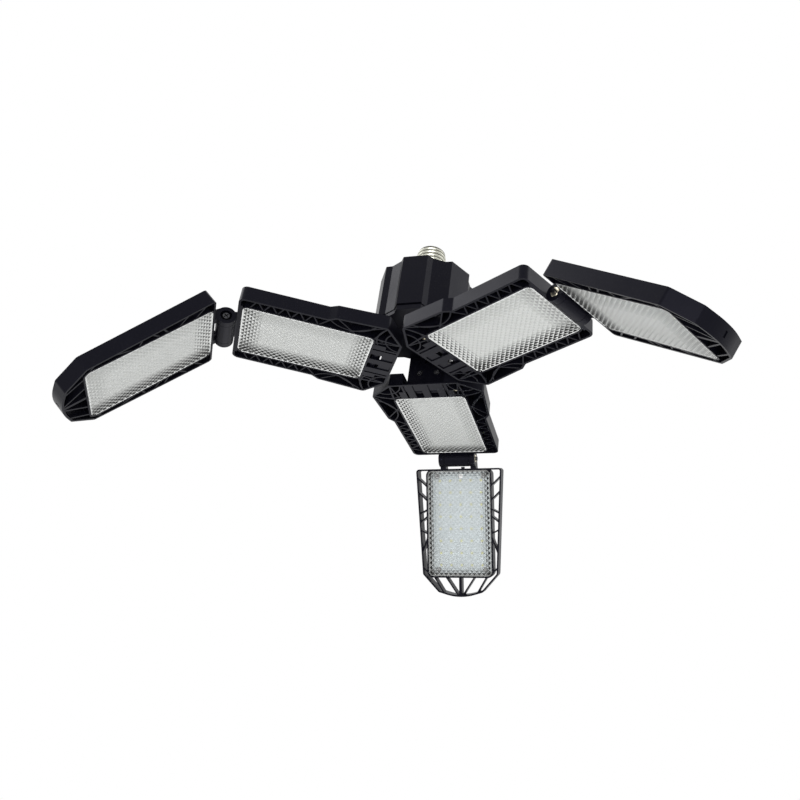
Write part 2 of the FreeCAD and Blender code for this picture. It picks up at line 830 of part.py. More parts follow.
def inner_openings():
    """What is open in an inner panel: room for the arm, wrench room beside the ears, back slots."""
    x_low = inner_edge - 1
    x_high = arm_outer_face + running_gap
    cuts = [box(x_low, x_high, -ear_start, ear_start, 0, panel_depth + 1)]
    half_slot = back_slot_width / 2
    for side in (-1, 1):
        y_low, y_high = sorted((side * ear_end, side * (ear_end + wrench_room)))
        cuts.append(box(arm_inner_face, x_high, y_low, y_high, inner_front_skin, panel_depth + 1))
        y = side * (pocket_side + inner_neck_margin / 2)
        for x in (inner_lens_start + 12, inner_step_x + 25):
            cuts.append(box(x, x + back_slot_length, y - half_slot, y + half_slot,
                            panel_depth - inner_skin - 1, panel_depth + 1))
    return cuts


def knuckle_web(length, height, rise, y_low, y_high):
    """A web from a hinge barrel's axis at the origin to a panel's edge at x = length. Its top runs
    from the barrel's top up to the given rise, its foot from the axis to the lens plane."""
    profile = [
        vector(0, 0, 0),
        vector(length, 0, height),
        vector(length, 0, knuckle_radius + rise),
        vector(0, 0, knuckle_radius),
    ]
    face = Part.Face(Part.makePolygon(profile + profile[:1]))
    face.translate(across * y_low)
    return face.extrude(across * (y_high - y_low))


def inner_frame():
    """The inner panel's frame: side wall, back skin, ribs, lens box, ears, grille and, at the far
    end, the middle knuckle of the outer hinge."""
    plan, radii = inner_outline()
    outside = slab(rounded(plan, radii), 0, panel_depth)
    inner_plan = rounded(inset(plan, inner_wall), inset_radii(plan, radii, inner_wall))
    tray = outside.cut(slab(inner_plan, 0, panel_depth - inner_skin))
    web = join(inner_ribs()).common(outside)
    end = inner_lens_start + lens_length
    end_block = box(end, inner_panel_end - inner_wall / 2, -pocket_side, pocket_side, 0, panel_depth)
    shape = join([tray, web, lens_box(inner_lens_start), end_block])
    shape = shape.cut(join([lens_cavity(inner_lens_start)] + inner_openings()))
    half = knuckle_width / 2
    axis = vector(outer_axis_radius, 0, -axis_before_inner_lens)
    barrel = rod(knuckle_radius, axis - across * half, axis + across * half)
    arm = knuckle_web(outer_axis_radius - inner_panel_end + inner_wall / 2, axis_before_inner_lens, web_rise,
                      -half, half)
    arm.rotate(origin, up, 180)
    arm.translate(axis)
    shape = join([shape] + inner_ears() + inner_grille() + [barrel, arm])
    hub_axis = vector(inner_hinge_radius, 0, axis_behind_lens)
    shape = shape.cut(rod(bore_radius, hub_axis - across * ear_end, hub_axis + across * ear_end))
    return shape.cut(rod(bore_radius, axis - across * half, axis + across * half))


def outer_outline():
    """Plan of an outer panel, counter-clockwise, and the rounding of each corner."""
    half = [
        vector(outer_chamfer_x, outer_chamfer_half, 0),
        vector(outer_side_end, pocket_side + outer_side_margin, 0),
        vector(outer_edge, pocket_side + outer_edge_margin, 0),
    ]
    full = mirrored(half)
    full.insert(len(half), vector(outer_apex, 0, 0))
    return full, [outer_corner] * len(half) + [outer_tip_radius] + [outer_corner] * len(half)


def rim_half(x):
    """Half width of the outer panel's side wall at a distance from its hinge."""
    share = (x - outer_edge) / (outer_side_end - outer_edge)
    margin = outer_edge_margin + share * (outer_side_margin - outer_edge_margin)
    return pocket_side + margin - outer_wall / 2


def outer_ribs():
    """The open lattice between the side wall and the lens box of an outer panel. Each side rib
    runs from its place on the rim to its place on the box, both as shares of the lens's length."""
    box_end = outer_lens_end
    lines = []
    for rim_share, box_share in outer_side_ribs:
        rim = outer_lens_start + rim_share * lens_length
        lines.append(((rim, rim_half(rim)), (outer_lens_start + box_share * lens_length, pocket_line)))
    lines.append(((box_end, tip_rib_share * pocket_side), (outer_apex - 3, 2.0)))
    lines.append(((box_end, chamfer_rib_share * pocket_side), (outer_chamfer_x, outer_chamfer_half - 5)))
    shapes = [rib(p, q, outer_rib_width, rib_front, outer_rib_back) for p, q in both_sides(lines)]
    shapes.append(rib((box_end, 0), (outer_apex - 3, 0), outer_rib_width * 2, rib_front, outer_rib_back))
    return shapes


def outer_ears():
    """The two ears of the outer hinge, with a lug that stands off the middle knuckle."""
    axis = vector(0, 0, -axis_before_outer_lens)
    pieces = []
    for side in (-1, 1):
        y_low, y_high = sorted((side * outer_ear_start, side * outer_ear_end))
        pieces.append(rod(knuckle_radius, axis + across * y_low, axis + across * y_high))
        web = knuckle_web(outer_edge + pocket_wall * 0.8, axis_before_outer_lens, web_rise, y_low, y_high)
        web.translate(axis)
        pieces.append(web)
    half = stop_lug_width / 2
    pieces.append(box(knuckle_radius + stop_lug_gap, outer_edge + pocket_wall / 2,
                      -stop_lug_offset - half, -stop_lug_offset + half, 0, stop_lug_width))
    return pieces


def outer_frame():
    """The outer panel's frame: rim, lattice, lens box, the ears of its hinge and, in the tip's wall,
    a short upright slot."""
    plan, radii = outer_outline()
    outside = slab(rounded(plan, radii), 0, panel_depth)
    inner_plan = rounded(inset(plan, outer_wall), inset_radii(plan, radii, outer_wall))
    rim = outside.cut(slab(inner_plan, 0, panel_depth))
    web = join(outer_ribs()).common(outside)
    shape = join([rim, web, lens_box(outer_lens_start).common(outside)])
    shape = shape.cut(lens_cavity(outer_lens_start))
    shape = join([shape] + outer_ears())
    axis = vector(0, 0, -axis_before_outer_lens)
    head_seat = outer_ear_end - ear_recess
    bore = rod(bore_radius, axis - across * outer_ear_end, axis + across * outer_ear_end)
    head_radius = bolt_head_radius + head_recess_gap
    head_room = rod(head_radius, axis + across * head_seat, axis + across * outer_ear_end)
    nut_room = to_hinge(hex_prism(nut_across_flats + 2 * nut_gap, -outer_ear_end, -head_seat), 0, axis.z)
    tip_slot = box(outer_apex - tip_slot_floor, outer_apex, -tip_slot_width / 2, tip_slot_width / 2,
                   (panel_depth - tip_slot_height) / 2, (panel_depth + tip_slot_height) / 2)
    return shape.cut(join([bore, head_room, nut_room])).cut(tip_slot)


# ---- wings -------------------------------------------------------------------------------------------------


def hinge_hardware(seat, x, z):
    """The bolt and the nut of one hinge, seated at y = +seat and y = -seat."""
    bolt = hinge_bolt(seat, -seat - nut_height - bolt_tip)
    return to_hinge(bolt, x, z), to_hinge(hinge_nut(-seat), x, z)


def panel_pieces(prefix, frame, lens_start, hardware):
    """The named pieces of one panel, before it is placed."""
    bolt, nut = hardware
    return {
        prefix + "_frame": frame,
        prefix + "_lens": lens(lens_start),
        prefix + "_led_board": led_board(lens_start),
        prefix + "_leds": leds(lens_start),
        prefix + "_board_screws": board_screws(lens_start),
        prefix + "_hinge_bolt": bolt,
        prefix + "_hinge_nut": nut,
    }


def place_inner(shape, azimuth):
    """Put a piece of an inner panel at its height and azimuth."""
    placed = shape.copy()
    placed.translate(vector(0, 0, inner_lens_height))
    placed.rotate(origin, up, azimuth)
    return placed


def place_outer(shape, azimuth, droop):
    """Put a piece of an outer panel on its hinge, turned down by its droop."""
    placed = shape.copy()
    placed.translate(vector(0, 0, axis_before_outer_lens))
    placed.rotate(origin, across, droop)
    placed.translate(vector(outer_axis_radius, 0, outer_axis_height))
    placed.rotate(origin, up, azimuth)
    return placed


os.makedirs(parts_folder, exist_ok=True)

hub = {
    "screw_shell": screw_shell(),
    "base_insulator": base_insulator(),
    "centre_contact": centre_contact(),
    "driver_housing": driver_housing(),
    "hinge_base": hinge_base(),
    "housing_screws": housing_screws(),
    "wire_covers": wire_covers(),
    "wire_cover_screws": wire_cover_screws(),
    "driver_board": driver_board(),
    "transformer": transformer(),
    "smoothing_capacitors": smoothing_capacitors(),
    "choke_coil": choke_coil(),
    "driver_chips": driver_chips(),
}
for name, shape in hub.items():
    save(name, shape)

inner_hardware = hinge_hardware(ear_end, inner_hinge_radius, axis_behind_lens)
outer_hardware = hinge_hardware(outer_ear_end - ear_recess, 0, -axis_before_outer_lens)
inner_pieces = panel_pieces("inner", inner_frame(), inner_lens_start, inner_hardware)
outer_pieces = panel_pieces("outer", outer_frame(), outer_lens_start, outer_hardware)
for wing, (azimuth, droop) in wings.items():
    for name, shape in inner_pieces.items():
        save(name + "_" + wing, place_inner(shape, azimuth))
    for name, shape in outer_pieces.items():
        save(name + "_" + wing, place_outer(shape, azimuth, droop))
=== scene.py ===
import json
import math

import bpy
import numpy as np
from mathutils import Matrix, Vector


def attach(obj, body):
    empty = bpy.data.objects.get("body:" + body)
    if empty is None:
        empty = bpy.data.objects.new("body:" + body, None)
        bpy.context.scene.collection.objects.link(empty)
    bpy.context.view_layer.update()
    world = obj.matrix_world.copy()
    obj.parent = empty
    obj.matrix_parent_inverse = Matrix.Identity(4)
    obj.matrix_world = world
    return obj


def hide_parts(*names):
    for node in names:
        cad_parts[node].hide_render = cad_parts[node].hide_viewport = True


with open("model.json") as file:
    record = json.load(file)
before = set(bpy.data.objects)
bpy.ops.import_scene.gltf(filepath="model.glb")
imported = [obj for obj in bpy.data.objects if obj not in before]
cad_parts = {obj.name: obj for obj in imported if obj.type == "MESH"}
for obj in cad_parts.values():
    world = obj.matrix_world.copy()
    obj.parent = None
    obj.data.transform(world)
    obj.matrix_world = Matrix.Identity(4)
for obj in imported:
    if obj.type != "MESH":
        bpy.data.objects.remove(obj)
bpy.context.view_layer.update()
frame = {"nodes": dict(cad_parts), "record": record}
nodes = frame["nodes"]
print("frame loaded:", len(nodes), "nodes")

mm = 0.001
# each wing's azimuth and how far its outer panel hangs out of line, in degrees
wings = {"left": (210.0, 48.0), "rear": (90.0, 64.0), "right": (-30.0, 36.0)}


# the camera stands below the lamp and looks up at it
shot = {
    "position": (0.1905, -0.540, -0.467),
    "azimuth": 15.6,
    "elevation": -30.6,
    "roll": 5.7,
    "lens": 36.8,
    "shiftX": -0.075,
}


def makeCamera():
    # the camera's axes: back points away from the lamp, right is level, up completes them, then the roll
    az, el, roll = (math.radians(shot[k]) for k in ("azimuth", "elevation", "roll"))
    back = Vector((math.sin(az) * math.cos(el), -math.cos(az) * math.cos(el), math.sin(el)))
    right = Vector((math.cos(az), math.sin(az), 0))
    up = back.cross(right)
    turnedRight = right * math.cos(roll) + up * math.sin(roll)
    turnedUp = up * math.cos(roll) - right * math.sin(roll)
    data = bpy.data.cameras.new("photoCamera")
    data.lens = shot["lens"]
    data.sensor_width = 36
    data.shift_x = shot["shiftX"]
    data.clip_start = 0.01
    camera = bpy.data.objects.new("photoCamera", data)
    turn = Matrix((turnedRight, turnedUp, back)).transposed().to_4x4()
    camera.matrix_world = Matrix.Translation(shot["position"]) @ turn
    bpy.context.scene.collection.objects.link(camera)
    bpy.context.scene.camera = camera


makeCamera()
print("camera placed")


# light, background and floor
studio = {
    "worldStrength": 0.62,
    "floorHeight": -1.0,
    "floorHalf": 60.0,
    "floorColour": (0.86, 0.86, 0.86, 1),
    "floorWhite": 0.72,  # how much of the floor's look is plain white, as the background
    "lamps": [  # name, place, what it looks at, size in metres, watts
        ("leftSoftbox", (-1.41, -0.37, 0.77), (0, 0, -0.1), 1.0, 9),
        ("rightSoftbox", (1.43, 0.37, 0.77), (0, 0, -0.1), 0.9, 4.5),
        ("lowSoftbox", (-0.38, 1.05, -0.9), (0, 0, -0.1), 0.9, 2),
        ("backSoftbox", (0.47, 1.01, -0.86), (0, 0, -0.1), 0.9, 7),
        ("frontSoftbox", (0.30, -1.20, -0.9), (0, 0, -0.1), 0.9, 17),
        ("topSoftbox", (0.1, 0.5, 1.6), (0, 0, -0.1), 1.2, 8),
    ],
}


def mathNode(tree, operation, first, second=None, clamp=False):
    node = tree.nodes.new("ShaderNodeMath")
    node.operation = operation
    node.use_clamp = clamp
    for socket, value in zip(node.inputs, (first, second)):
        if value is None:
            continue
        if isinstance(value, (int, float)):
            socket.default_value = value
        else:
            tree.links.new(value, socket)
    return node.outputs[0]


def seenRays(tree):
    # 1 for the rays that see the background: the camera's, and those in reflections and through glass
    path = tree.nodes.new("ShaderNodeLightPath")
    either = mathNode(tree, "MAXIMUM", path.outputs["Is Camera Ray"], path.outputs["Is Glossy Ray"])
    return mathNode(tree, "MAXIMUM", either, path.outputs["Is Transmission Ray"])


def makeWorld():
    world = bpy.data.worlds.new("studioWorld")
    world.use_nodes = True
    tree = world.node_tree
    tree.nodes.clear()
    output = tree.nodes.new("ShaderNodeOutputWorld")
    mix = tree.nodes.new("ShaderNodeMixShader")
    soft = tree.nodes.new("ShaderNodeBackground")
    soft.inputs["Color"].default_value = (1, 1, 1, 1)
    soft.inputs["Strength"].default_value = studio["worldStrength"]
    white = tree.nodes.new("ShaderNodeBackground")
    white.inputs["Color"].default_value = (1, 1, 1, 1)
    white.inputs["Strength"].default_value = 1.0
    tree.links.new(seenRays(tree), mix.inputs["Fac"])
    tree.links.new(soft.outputs[0], mix.inputs[1])
    tree.links.new(white.outputs[0], mix.inputs[2])
    tree.links.new(mix.outputs[0], output.inputs["Surface"])
    bpy.context.scene.world = world


def makeLamps():
    for name, place, target, size, watts in studio["lamps"]:
        data = bpy.data.lights.new(name, "AREA")
        data.shape = "DISK"
        data.size = size
        data.energy = watts
        lamp = bpy.data.objects.new(name, data)
        lamp.location = place
        lamp.rotation_euler = (Vector(target) - Vector(place)).to_track_quat("-Z", "Y").to_euler()
        bpy.context.scene.collection.objects.link(lamp)


def makeFloor():
    # a flat square far below the hanging lamp, nearly as white as the background but with a soft shadow
    half, z = studio["floorHalf"], studio["floorHeight"]
    mesh = bpy.data.meshes.new("floor")
    corners = [(-half, -half, z), (half, -half, z), (half, half, z), (-half, half, z)]
    mesh.from_pydata(corners, [], [(0, 1, 2, 3)])
    floor = bpy.data.objects.new("floor", mesh)
    bpy.context.scene.collection.objects.link(floor)
    material = bpy.data.materials.new("floorPaper")
    material.use_nodes = True
    tree = material.node_tree
    shader = tree.nodes["Principled BSDF"]
    shader.inputs["Base Color"].default_value = studio["floorColour"]
    shader.inputs["Roughness"].default_value = 0.9
    shader.inputs["Specular IOR Level"].default_value = 0.1
    white = tree.nodes.new("ShaderNodeEmission")
    white.inputs["Color"].default_value = (1, 1, 1, 1)
    white.inputs["Strength"].default_value = 1.0
    mix = tree.nodes.new("ShaderNodeMixShader")
    share = mathNode(tree, "MULTIPLY", seenRays(tree), studio["floorWhite"])
    tree.links.new(share, mix.inputs["Fac"])
    tree.links.new(shader.outputs[0], mix.inputs[1])
    tree.links.new(white.outputs[0], mix.inputs[2])
    tree.links.new(mix.outputs[0], tree.nodes["Material Output"].inputs["Surface"])
    mesh.materials.append(material)


makeWorld()
makeLamps()
makeFloor()
bpy.context.scene.view_settings.view_transform = "Standard"
print("studio lit")


def newGroup(name, inputs, outputs):
    # an empty shader group with named sockets: (name, socket type, default)
    group = bpy.data.node_groups.new(name, "ShaderNodeTree")
    for label, kind, default in inputs:
        socket = group.interface.new_socket(name=label, in_out="INPUT", socket_type=kind)
        if default is not None:
            socket.default_value = default
    for label, kind in outputs:
        group.interface.new_socket(name=label, in_out="OUTPUT", socket_type=kind)
    start = group.nodes.new("NodeGroupInput")
    end = group.nodes.new("NodeGroupOutput")
    return group, start, end


def makeGrainGroup():
    # fine moulded grain: a height from small noise, and a slow mottle for roughness and colour
    group, start, end = newGroup(
        "mouldGrain",
        [
            ("Vector", "NodeSocketVector", None),
            ("Grain Scale", "NodeSocketFloat", 2600.0),
            ("Mottle Scale", "NodeSocketFloat", 45.0),
        ],
        [("Grain", "NodeSocketFloat"), ("Mottle", "NodeSocketFloat")],
    )
    fine = group.nodes.new("ShaderNodeTexNoise")
    fine.inputs["Detail"].default_value = 2
    slow = group.nodes.new("ShaderNodeTexNoise")
    slow.inputs["Detail"].default_value = 3
    link = group.links.new
    link(start.outputs["Vector"], fine.inputs["Vector"])
    link(start.outputs["Grain Scale"], fine.inputs["Scale"])
    link(start.outputs["Vector"], slow.inputs["Vector"])
    link(start.outputs["Mottle Scale"], slow.inputs["Scale"])
    link(fine.outputs["Fac"], end.inputs["Grain"])
    link(slow.outputs["Fac"], end.inputs["Mottle"])
    return group


dustLook = {
    "threshold": 0.56,  # the noise above this is a speck
    "sharpness": 6.0,
    "facingLift": 0.4,  # lets faces that look a little down have some dust too
    "facingGain": 0.7,
}


def makeDustGroup():
    # faint dust: sparse specks where a fine noise passes a threshold, thicker on faces that look up
    look = dustLook
    group, start, end = newGroup(
        "settledDust",
        [
            ("Vector", "NodeSocketVector", None),
            ("Speck Scale", "NodeSocketFloat", 900.0),
            ("Amount", "NodeSocketFloat", 0.3),
        ],
        [("Mask", "NodeSocketFloat")],
    )
    noise = group.nodes.new("ShaderNodeTexNoise")
    noise.inputs["Detail"].default_value = 4
    geometry = group.nodes.new("ShaderNodeNewGeometry")
    split = group.nodes.new("ShaderNodeSeparateXYZ")
    link = group.links.new
    link(start.outputs["Vector"], noise.inputs["Vector"])
    link(start.outputs["Speck Scale"], noise.inputs["Scale"])
    link(geometry.outputs["True Normal"], split.inputs[0])
    above = mathNode(group, "SUBTRACT", noise.outputs["Fac"], look["threshold"])
    specks = mathNode(group, "MULTIPLY", above, look["sharpness"], clamp=True)
    lifted = mathNode(group, "ADD", split.outputs["Z"], look["facingLift"])
    facing = mathNode(group, "MULTIPLY", lifted, look["facingGain"], clamp=True)
    mask = mathNode(group, "MULTIPLY", mathNode(group, "MULTIPLY", specks, facing), start.outputs["Amount"])
    link(mask, end.inputs["Mask"])
    return group


mouldGrain = makeGrainGroup()
settledDust = makeDustGroup()


class Finish:
    # a material under construction: its tree, its shader and its object coordinates
    def __init__(self, name, **values):
        self.material = bpy.data.materials.new(name)
        self.material.use_nodes = True
        self.tree = self.material.node_tree
        self.shader = self.tree.nodes["Principled BSDF"]
        self.coordinates = self.tree.nodes.new("ShaderNodeTexCoord").outputs["Object"]
        for key, value in values.items():
            self.shader.inputs[key].default_value = value

    def link(self, source, target):
        self.tree.links.new(source, target)

    def group(self, group, **values):
        node = self.tree.nodes.new("ShaderNodeGroup")
        node.node_tree = group
        self.link(self.coordinates, node.inputs["Vector"])
        for key, value in values.items():
            node.inputs[key].default_value = value
        return node

    def attribute(self, label):
        node = self.tree.nodes.new("ShaderNodeAttribute")
        node.attribute_name = label
        return node.outputs["Fac"]

    def ramp(self, fac, low, high, fromLow=0.0, fromHigh=1.0):
        node = self.tree.nodes.new("ShaderNodeMapRange")
        self.link(fac, node.inputs["Value"])
        node.inputs["From Min"].default_value = fromLow
        node.inputs["From Max"].default_value = fromHigh
        node.inputs["To Min"].default_value = low
        node.inputs["To Max"].default_value = high
        return node.outputs["Result"]

    def mix(self, fac, first, second):
        node = self.tree.nodes.new("ShaderNodeMix")
        node.data_type = "RGBA"
        if isinstance(fac, float):
            node.inputs["Factor"].default_value = fac
        else:
            self.link(fac, node.inputs["Factor"])
        for socket, value in ((node.inputs[6], first), (node.inputs[7], second)):
            if isinstance(value, tuple):
                socket.default_value = value
            else:
                self.link(value, socket)
        return node.outputs[2]

    def bump(self, height, distance, strength=1.0):
        node = self.tree.nodes.new("ShaderNodeBump")
        node.inputs["Distance"].default_value = distance
        node.inputs["Strength"].default_value = strength
        self.link(height, node.inputs["Height"])
        self.link(node.outputs["Normal"], self.shader.inputs["Normal"])

    def noise(self, scale, detail=3):
        node = self.tree.nodes.new("ShaderNodeTexNoise")
        node.inputs["Scale"].default_value = scale
        node.inputs["Detail"].default_value = detail
        self.link(self.coordinates, node.inputs["Vector"])
        return node.outputs["Fac"]


plasticLook = {
    "black": (0.0024, 0.0024, 0.0048, 1),
    "worn": (0.0038, 0.0038, 0.0064, 1),
    "dust": (0.10, 0.10, 0.095, 1),
    "roughness": (0.28, 0.40),
    "specular": 0.095,
    "tint": (0.80, 0.80, 1.0, 1),
    "grainHeight": 0.00002,
    "grainStrength": 0.35,
}


def blackPlastic(name, grainScale, dustAmount):
    look = plasticLook
    finish = Finish(name)
    finish.shader.inputs["Specular IOR Level"].default_value = look["specular"]
    finish.shader.inputs["Specular Tint"].default_value = look["tint"]
    grain = finish.group(mouldGrain, **{"Grain Scale": grainScale})
    dust = finish.group(settledDust, Amount=dustAmount)
    base = finish.mix(grain.outputs["Mottle"], look["black"], look["worn"])
    finish.link(finish.mix(dust.outputs["Mask"], base, look["dust"]), finish.shader.inputs["Base Color"])
    finish.link(finish.ramp(grain.outputs["Mottle"], *look["roughness"]), finish.shader.inputs["Roughness"])
    finish.bump(grain.outputs["Grain"], look["grainHeight"], look["grainStrength"])
    return finish.material


# the scale of the slow mottle, and the height and strength of the fine relief
metalLook = {"mottle": 60.0, "height": 0.00001, "strength": 0.3}
plainLook = {"height": 0.00002, "strength": 0.2}


def metal(name, colour, tint, roughness, scratch=700.0):
    finish = Finish(name, Metallic=1.0)
    mottle = finish.noise(metalLook["mottle"])
    fine = finish.noise(scratch, 4)
    finish.link(finish.mix(mottle, colour, tint), finish.shader.inputs["Base Color"])
    finish.link(finish.ramp(fine, *roughness), finish.shader.inputs["Roughness"])
    finish.bump(fine, metalLook["height"], metalLook["strength"])
    return finish.material


def plain(name, colour, tint, roughness, scale=300.0, **values):
    finish = Finish(name, **values)
    mottle = finish.noise(scale)
    finish.link(finish.mix(mottle, colour, tint), finish.shader.inputs["Base Color"])
    finish.link(finish.ramp(mottle, *roughness), finish.shader.inputs["Roughness"])
    finish.bump(mottle, plainLook["height"], plainLook["strength"])
    return finish.material


lensLook = {
    "middle": (0.54, 0.55, 0.535, 1),
    # the colours of the painted shade and painted highlight on the facets near the edges
    "dark": (0.004, 0.004, 0.004, 1),
    "paintedHighlight": (0.88, 0.89, 0.88, 1),
    # a painted highlight on the lens rim
    "rim": (0.80, 0.81, 0.80, 1),
    "darkCover": 0.96,  # how little of the board shows through a facet in full painted shade
    "rimCover": 0.85,
}


def prismLens():
    # clear moulded plastic with painted light: a facet's shade above 0 is painted shade for the dark
    # surround it would bend into view, below 0 a painted highlight for the light it would catch; its cover
    # is how little of the board shows through
    look = lensLook
    finish = Finish("prismLens", Roughness=0.3)
    finish.shader.inputs["Specular IOR Level"].default_value = 0.2
    shade, cover, rim = (finish.attribute(label) for label in ("shade", "cover", "rim"))
    darkness = mathNode(finish.tree, "MULTIPLY", shade, 1.0, clamp=True)
    paintedHighlightShare = mathNode(finish.tree, "MULTIPLY", shade, -1.0, clamp=True)
    facets = finish.mix(paintedHighlightShare, finish.mix(darkness, look["middle"], look["dark"]), look["paintedHighlight"])
    finish.link(finish.mix(rim, facets, look["rim"]), finish.shader.inputs["Base Color"])
    byFacet = mathNode(finish.tree, "MULTIPLY", darkness, look["darkCover"])
    hidden = mathNode(finish.tree, "MAXIMUM", cover, byFacet)
    byRim = mathNode(finish.tree, "MULTIPLY", rim, look["rimCover"])
    finish.link(mathNode(finish.tree, "MAXIMUM", hidden, byRim), finish.shader.inputs["Alpha"])
    return finish.material


threadLook = {
    # the first colour is painted shade for the thread's grooves
    "groove": (0.08, 0.075, 0.06, 1),
    "crest": (0.62, 0.62, 0.54, 1),
    "crestTint": (0.55, 0.55, 0.47, 1),
    "roughness": (0.24, 0.36),
    "scratch": 700.0,
    "fromRadius": 0.0121,  # metres; below it the metal has the colour of the painted groove shade
    "toRadius": 0.0125,  # above it, the crest's
}


def threadMetal():
    # nickel-plated shell with painted shade: darker where its radius is small, in the grooves
    look = threadLook
    finish = Finish("shellNickel", Metallic=1.0)
    flat = finish.tree.nodes.new("ShaderNodeVectorMath")
    flat.operation = "MULTIPLY"
    finish.link(finish.coordinates, flat.inputs[0])
    flat.inputs[1].default_value = (1, 1, 0)
    radius = finish.tree.nodes.new("ShaderNodeVectorMath")
    radius.operation = "LENGTH"
    finish.link(flat.outputs["Vector"], radius.inputs[0])
    # painted shade in the grooves: 0 at the groove radius, 1 at the crest radius
    height = finish.ramp(radius.outputs["Value"], 0.0, 1.0, look["fromRadius"], look["toRadius"])
    mottle = finish.noise(metalLook["mottle"])
    crest = finish.mix(mottle, look["crest"], look["crestTint"])
    finish.link(finish.mix(height, look["groove"], crest), finish.shader.inputs["Base Color"])
    fine = finish.noise(look["scratch"], 4)
    finish.link(finish.ramp(fine, *look["roughness"]), finish.shader.inputs["Roughness"])
    return finish.material


# one finish for each slot of the record: colour, tint and the range of the roughness
finishes = {
    "housing_black": blackPlastic("housingPlastic", 2200.0, 0.25),
    "frame_black": blackPlastic("framePlastic", 3000.0, 0.15),
    "shell_metal": threadMetal(),
    "insulator_dark": plain("insulatorGlass", (0.02, 0.02, 0.025, 1), (0.035, 0.03, 0.03, 1), (0.15, 0.25)),
    "contact_brass": metal("contactSolder", (0.75, 0.72, 0.66, 1), (0.66, 0.60, 0.50, 1), (0.25, 0.45)),
    "lens_clear": prismLens(),
    "led_board_white": plain("boardWhite", (0.80, 0.90, 0.94, 1), (0.76, 0.86, 0.91, 1), (0.40, 0.55), 90.0),
    "led_phosphor": plain("ledPhosphor", (0.88, 0.90, 0.22, 1), (0.82, 0.84, 0.18, 1), (0.35, 0.5), 900.0),
    "screw_steel": metal("zincScrew", (0.30, 0.30, 0.31, 1), (0.22, 0.22, 0.23, 1), (0.2, 0.36)),
    "bolt_steel": metal("blackBolt", (0.045, 0.045, 0.05, 1), (0.09, 0.09, 0.095, 1), (0.2, 0.34)),
    "nut_brass": metal("yellowZincNut", (0.80, 0.74, 0.58, 1), (0.68, 0.62, 0.46, 1), (0.2, 0.36)),
    "circuit_board": plain("solderMask", (0.05, 0.22, 0.08, 1), (0.07, 0.28, 0.11, 1), (0.3, 0.45)),
    "transformer_core": plain("ferriteTape", (0.10, 0.09, 0.08, 1), (0.62, 0.52, 0.12, 1), (0.4, 0.6), 40.0),
    "capacitor_sleeve": plain("capacitorSleeve", (0.02, 0.03, 0.08, 1), (0.03, 0.04, 0.11, 1), (0.2, 0.35)),
    "choke_copper": metal("chokeWire", (0.72, 0.36, 0.18, 1), (0.60, 0.27, 0.12, 1), (0.25, 0.4), 1500.0),
    "chip_black": plain("chipPackage", (0.02, 0.02, 0.02, 1), (0.035, 0.035, 0.035, 1), (0.45, 0.65)),
}


def dressNodes():
    # every CAD node takes the finish of its record slot
    slotOf = {part["node"]: part["material_slot"] for part in frame["record"]["subparts"]}
    for name, node in nodes.items():
        node.data.materials.clear()
        node.data.materials.append(finishes[slotOf[name]])


dressNodes()
print("finishes made and given to the CAD nodes")


# where the panels are, in millimetres
panelPlace = {
    "innerLensHeight": -106.3,
    "outerAxisRadius": 155.7,
    "outerAxisHeight": -107.7,
    "outerLensBehindAxis": 0.8,
}


def turnZ(points, degrees):
    a = math.radians(degrees)
    turn = np.array([[math.cos(a), -math.sin(a), 0], [math.sin(a), math.cos(a), 0], [0, 0, 1]])
    return points @ turn.T


def placeInner(points, wing):
    # panel plan in millimetres, lens plane at z = 0, raised to its height and turned to its wing
    lifted = points + np.array([0, 0, panelPlace["innerLensHeight"]])
    return turnZ(lifted, wings[wing][0]) * mm


def placeOuter(points, wing):
    # as placeInner, but turned down about the outer hinge first
    droop = math.radians(wings[wing][1])
    cosine, sine = math.cos(droop), math.sin(droop)
    turn = np.array([[cosine, 0, sine], [0, 1, 0], [-sine, 0, cosine]])
    hung = (points + np.array([0, 0, panelPlace["outerLensBehindAxis"]])) @ turn.T
    hung = hung + np.array([panelPlace["outerAxisRadius"], 0, panelPlace["outerAxisHeight"]])
    return turnZ(hung, wings[wing][0]) * mm


# how a panel is placed, and where its lens starts along it in millimetres
placers = {"inner": (placeInner, 42.1), "outer": (placeOuter, 11.3)}


def makePiece(name, points, faces, material, body, attributes=None, smooth=False):
    mesh = bpy.data.meshes.new(name)
    mesh.from_pydata(points.tolist(), [], faces.tolist())
    for label, values in (attributes or {}).items():
        layer = mesh.attributes.new(label, "FLOAT", "FACE")
        layer.data.foreach_set("value", np.asarray(values, np.float32))
    mesh.materials.append(material)
    mesh.polygons.foreach_set("use_smooth", np.full(len(mesh.polygons), smooth))
    mesh.update()
    piece = bpy.data.objects.new(name, mesh)
    bpy.context.scene.collection.objects.link(piece)
    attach(piece, body)
    return piece


lensSize = {
    "length": 102.4, "width": 63.0, "corner": 4.5, "thickness": 2.0,
    "facet": 2.415, "depth": 0.45, "rim": 0.9, "bevel": 0.3,
}
# for each lens: how strongly painted shade darkens the facets near its hub end, outer end, right side and
# left side (below 0 it is the facets that lean inwards), how far in from the edge that reaches in
# millimetres, how much of the board the lens hides, and how bright the painted highlight on its rim is
lensShades = {
    "inner_left": ((0.85, 0.90, -1.0, 0.25), 17.0, 0.90, 1.0),
    "inner_rear": ((0.10, -0.95, 0.35, 1.0), 15.0, 0.90, 1.0),
    "inner_right": ((0.95, 0.45, 0.20, -1.0), 17.0, 0.90, 1.0),
    "outer_left": ((0.80, 0.30, -1.0, 0.20), 17.0, 0.90, 0.8),
    "outer_rear": ((0.80, 0.95, 1.0, 1.0), 8.5, 0.42, 0.3),
    "outer_right": ((-1.0, 0.35, 0.30, 0.45), 22.0, 0.80, 0.7),
}


